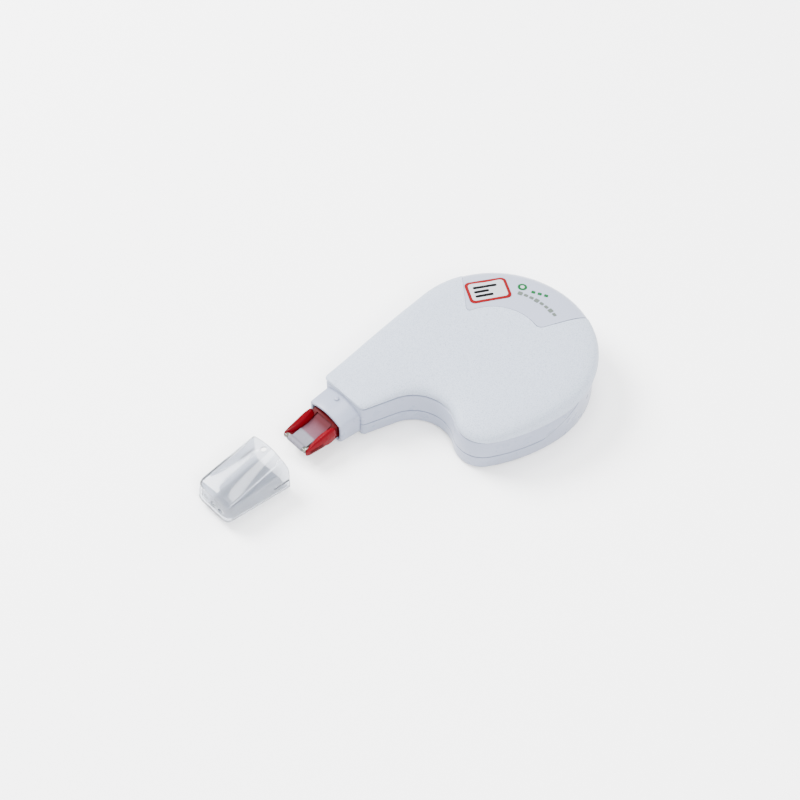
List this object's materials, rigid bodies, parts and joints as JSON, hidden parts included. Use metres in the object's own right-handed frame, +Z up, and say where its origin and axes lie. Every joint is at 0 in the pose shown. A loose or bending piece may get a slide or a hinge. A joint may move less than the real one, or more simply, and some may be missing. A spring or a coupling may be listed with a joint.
{
  "type": "correction tape roller",
  "caption": "Comma-shaped hand-held correction tape roller with a flexing red tip, geared tape reels inside and a frosted pull-off cap.",
  "frame": {"origin": "on the flat underside, below the round head, 0.8 mm from its centre towards the neck", "axes": "+X from the tip towards the round tail, along the neck; +Z up, out of the textured face; +Y away from the palm corner"},
  "size_m": [0.1235, 0.06, 0.0184],
  "materials": {
    "shell_plastic": "satin",
    "textured_pad": "fine spark texture",
    "label_plastic": "smooth satin",
    "badge_print": "printed film",
    "frosted_cap": "frosted clear",
    "red_plastic": "glossy tinted",
    "clear_plastic": "clear",
    "white_tape": "smooth film",
    "gear_plastic": "moulded",
    "spool_plastic": "moulded",
    "rolled_tape": "wound film",
    "friction_rubber": "matt",
    "spent_backing": "wound thin film"
  },
  "bodies": {
    "housing": {"lower_shell": "shell_plastic", "upper_shell": "shell_plastic", "grip_pad": "textured_pad", "label_plate": "label_plastic", "label_badge": "badge_print", "nose_sleeve": "shell_plastic", "tape_feed": "white_tape", "tape_return": "spent_backing"},
    "flex_tip": {"tip_carrier": "red_plastic", "tip_blade": "clear_plastic", "tip_tape": "white_tape"},
    "supply_spool": {"supply_core": "spool_plastic", "supply_roll": "rolled_tape"},
    "supply_drive": {"supply_gear": "gear_plastic", "clutch_ring": "friction_rubber"},
    "takeup": {"takeup_reel": "spool_plastic", "takeup_roll": "spent_backing"},
    "cap": {"cap": "frosted_cap"}
  },
  "joints": [
    {"name": "supply_spin", "type": "hinge", "parent": "housing", "child": "supply_spool", "pos_m": [0.008, -0.001, 0.007], "axis": [0, 0, 1], "continuous": true},
    {"name": "gear_spin", "type": "hinge", "parent": "housing", "child": "supply_drive", "pos_m": [0.008, -0.001, 0.0026], "axis": [0, 0, 1], "continuous": true},
    {"name": "takeup_spin", "type": "hinge", "parent": "housing", "child": "takeup", "pos_m": [-0.0142, -0.001, 0.007], "axis": [0, 0, 1], "continuous": true},
    {"name": "tip_flex", "type": "hinge", "parent": "housing", "child": "flex_tip", "pos_m": [-0.045, 0.01905, 0.0063], "axis": [0, 1, 0], "range_deg": [-3, 3], "stiffness_Nm_per_rad": 0.06},
    {"name": "cap_slide", "type": "slide", "parent": "housing", "child": "cap", "axis": [1, 0, 0], "range_m": [0, 0.0278]}
  ],
  "couplings": [
    {"joint": "gear_spin", "follows": "supply_spin", "ratio": 1},
    {"joint": "takeup_spin", "follows": "supply_spin", "ratio": -2.7}
  ]
}
